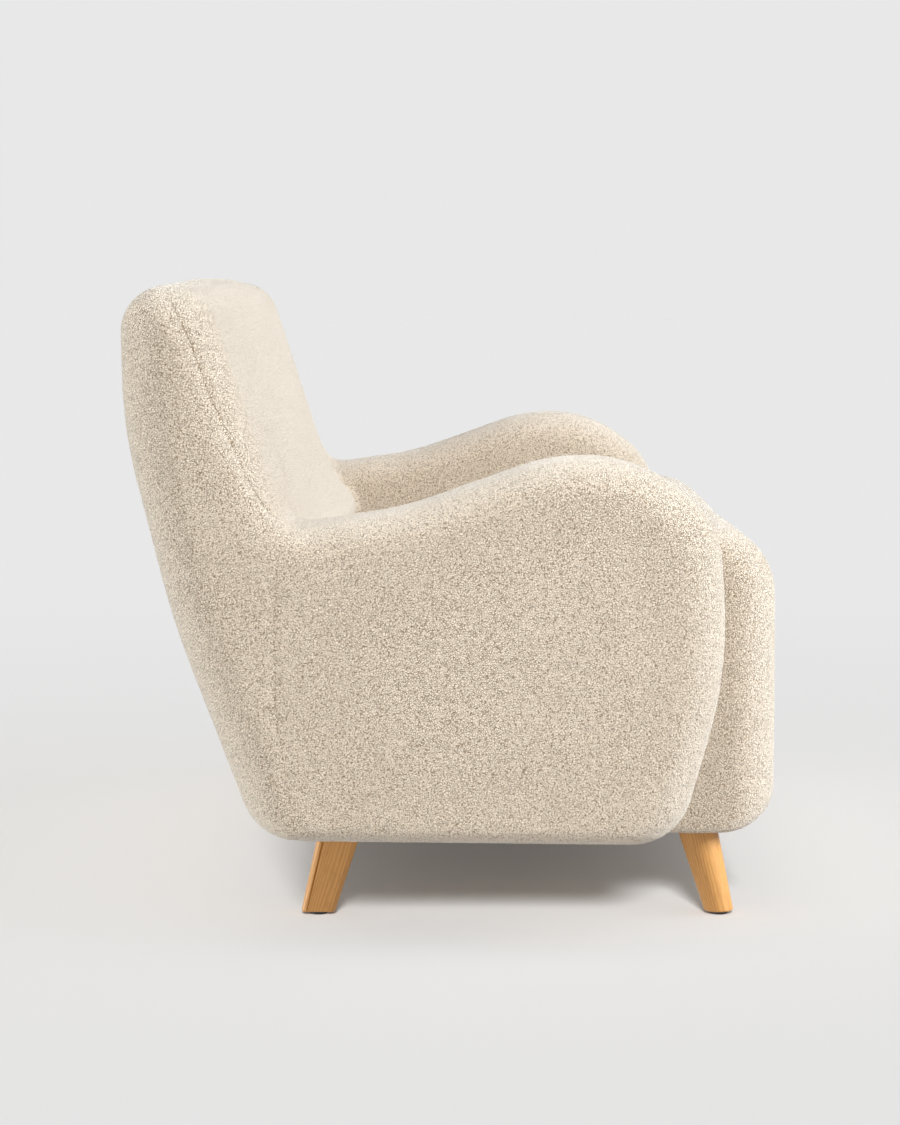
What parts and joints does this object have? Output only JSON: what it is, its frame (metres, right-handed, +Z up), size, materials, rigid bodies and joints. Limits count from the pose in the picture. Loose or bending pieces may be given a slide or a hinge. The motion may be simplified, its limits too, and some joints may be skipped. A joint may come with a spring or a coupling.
{
  "type": "sofa",
  "caption": "Compact upholstered lounge sofa with wave-topped arms, a leaning rounded back, a tight seat block, looped-pile cover and short splayed oak legs.",
  "frame": {"origin": "on the floor, under the centre of the sofa's box", "axes": "+X across the width to the sitter's left, front towards -Y, +Z up"},
  "size_m": [1.5, 0.812, 0.805],
  "materials": {
    "boucle_cover": "looped pile",
    "foam": "open-cell foam",
    "oak": "satin lacquer",
    "glide": "matt",
    "underside_cloth": "spunbond",
    "felt": "needled felt",
    "webbing": "elastic weave",
    "spring_steel": "oiled",
    "clip": "natural",
    "zinc_steel": "zinc plated",
    "plywood": "sawn",
    "frame_timber": "planed"
  },
  "bodies": {
    "root": {"arm_bolt_inserts": "zinc_steel", "arm_bolt_washers": "zinc_steel", "arm_bolts": "zinc_steel", "back_bolt_nuts": "zinc_steel", "back_bolt_washers": "zinc_steel", "back_bolts": "zinc_steel", "back_foam": "foam", "back_lower_rail": "frame_timber", "back_lumbar_rail": "frame_timber", "back_top_rail": "frame_timber", "back_webbing": "webbing", "corner_blocks": "frame_timber", "front_seat_rail": "frame_timber", "inside_back_cover": "boucle_cover", "left_arm_battens": "frame_timber", "left_arm_bolt_batten": "frame_timber", "left_arm_cover": "boucle_cover", "left_arm_foam": "foam", "left_arm_inner_panel": "plywood", "left_arm_outer_panel": "plywood", "left_arm_posts": "frame_timber", "left_arm_underside_cloth": "underside_cloth", "left_front_leg": "oak", "left_inner_back_rib": "plywood", "left_outer_back_rib": "plywood", "left_rear_leg": "oak", "left_side_seat_rail": "frame_timber", "leg_glides": "glide", "leg_hanger_bolts": "zinc_steel", "leg_tee_nuts": "zinc_steel", "outside_back_cover": "boucle_cover", "rear_seat_rail": "frame_timber", "right_arm_battens": "frame_timber", "right_arm_bolt_batten": "frame_timber", "right_arm_cover": "boucle_cover", "right_arm_foam": "foam", "right_arm_inner_panel": "plywood", "right_arm_outer_panel": "plywood", "right_arm_posts": "frame_timber", "right_arm_underside_cloth": "underside_cloth", "right_front_leg": "oak", "right_inner_back_rib": "plywood", "right_outer_back_rib": "plywood", "right_rear_leg": "oak", "right_side_seat_rail": "frame_timber", "seat_cover": "boucle_cover", "seat_foam": "foam", "seat_insulator_felt": "felt", "seat_springs": "spring_steel", "seat_stretchers": "frame_timber", "seat_underside_cloth": "underside_cloth", "spring_clips": "clip"}
  },
  "joints": []
}
